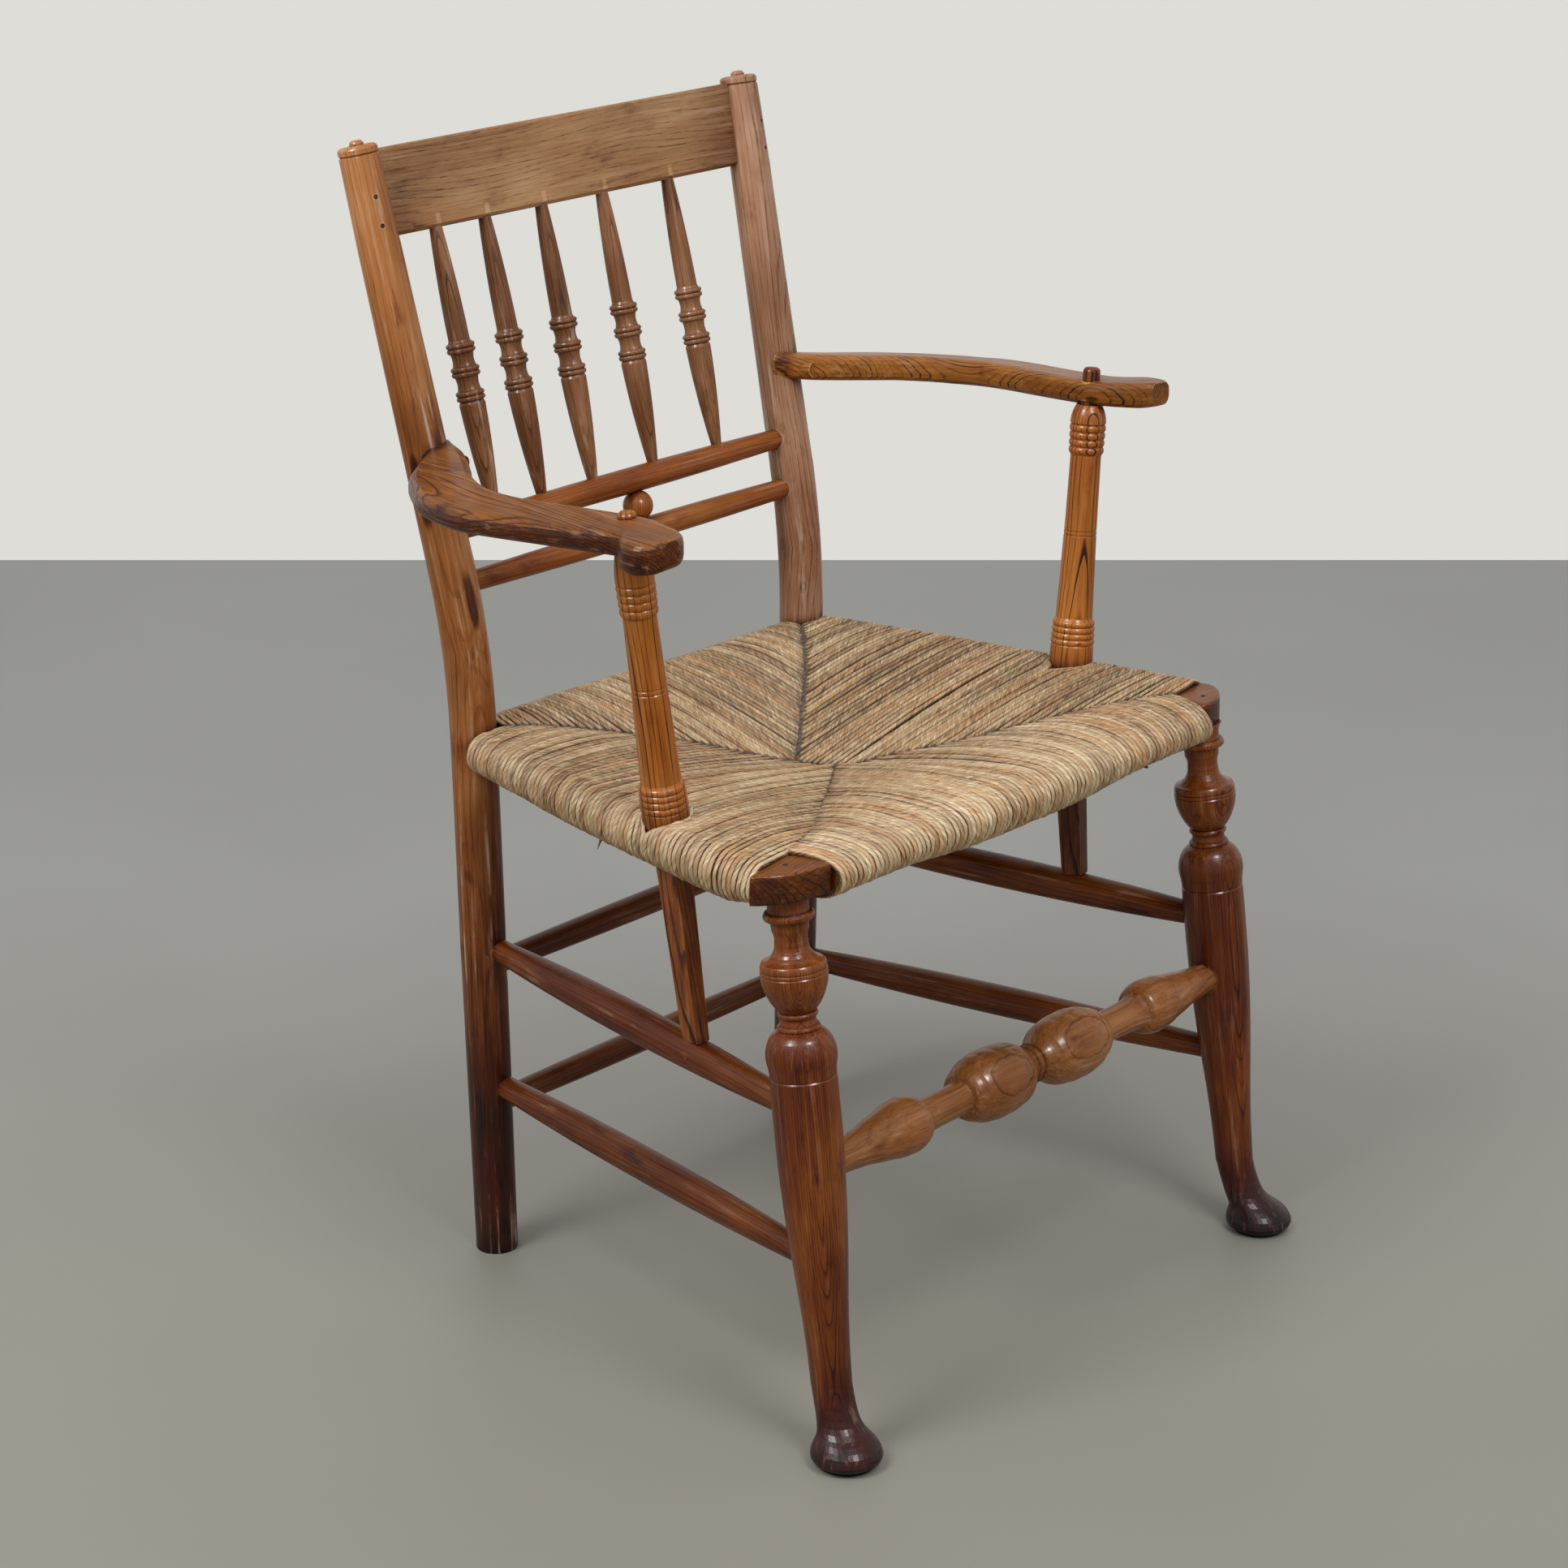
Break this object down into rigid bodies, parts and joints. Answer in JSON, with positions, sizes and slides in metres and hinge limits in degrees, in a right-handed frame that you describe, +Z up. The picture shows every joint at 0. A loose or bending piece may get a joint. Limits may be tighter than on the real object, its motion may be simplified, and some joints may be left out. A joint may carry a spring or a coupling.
{
  "type": "rush seat armchair",
  "caption": "Country spindle-back armchair with turned legs on pad feet, shaped arms and a woven rush seat.",
  "frame": {"origin": "middle of the chair's overall box, on the floor", "axes": "+Z up from the floor, -Y towards the front, where the sitter faces, +X to the right when looking along +Y"},
  "size_m": [0.6355, 0.575, 0.9001],
  "materials": {
    "post_wood": "waxed, orange-brown to dark reddish brown, worn",
    "crest_wood": "waxed, mid brown with pale pores",
    "spindle_wood": "waxed, dark brown",
    "cross_rail_wood": "waxed, dark reddish brown",
    "arm_wood": "waxed, orange-brown, worn bright on top",
    "support_wood": "waxed, orange-brown with dark grooves",
    "seat_rail_wood": "bare, hidden under the rush",
    "rush": "twisted rush, straw and khaki",
    "block_wood": "waxed, dark brown with a worn top",
    "nail_iron": "dark old iron",
    "front_leg_wood": "waxed, dark reddish brown with a high polish",
    "front_stretcher_wood": "waxed, warm orange-brown",
    "stretcher_wood": "waxed, reddish brown",
    "peg_wood": "dark end grain"
  },
  "bodies": {
    "root": {"back_post_left": "post_wood", "back_post_right": "post_wood", "crest_rail": "crest_wood", "crest_pin_left_upper": "peg_wood", "crest_pin_left_lower": "peg_wood", "crest_pin_right_upper": "peg_wood", "crest_pin_right_lower": "peg_wood", "back_spindle_1": "spindle_wood", "back_spindle_2": "spindle_wood", "back_spindle_3": "spindle_wood", "back_spindle_4": "spindle_wood", "back_spindle_5": "spindle_wood", "upper_cross_rail": "cross_rail_wood", "lower_cross_rail": "cross_rail_wood", "back_ball": "spindle_wood", "arm_left": "arm_wood", "arm_right": "arm_wood", "arm_support_left": "support_wood", "arm_support_right": "support_wood", "seat_rail_front": "seat_rail_wood", "seat_rail_back": "seat_rail_wood", "seat_rail_left": "seat_rail_wood", "seat_rail_right": "seat_rail_wood", "rush_seat": "rush", "corner_block_left": "block_wood", "corner_block_right": "block_wood", "block_nail_left": "nail_iron", "block_nail_right": "nail_iron", "front_leg_left": "front_leg_wood", "front_leg_right": "front_leg_wood", "front_stretcher": "front_stretcher_wood", "side_stretcher_upper_left": "stretcher_wood", "side_stretcher_upper_right": "stretcher_wood", "side_stretcher_lower_left": "stretcher_wood", "side_stretcher_lower_right": "stretcher_wood", "rear_stretcher_upper": "stretcher_wood", "rear_stretcher_lower": "stretcher_wood", "stretcher_peg_left": "peg_wood", "stretcher_peg_right": "peg_wood"}
  },
  "joints": []
}
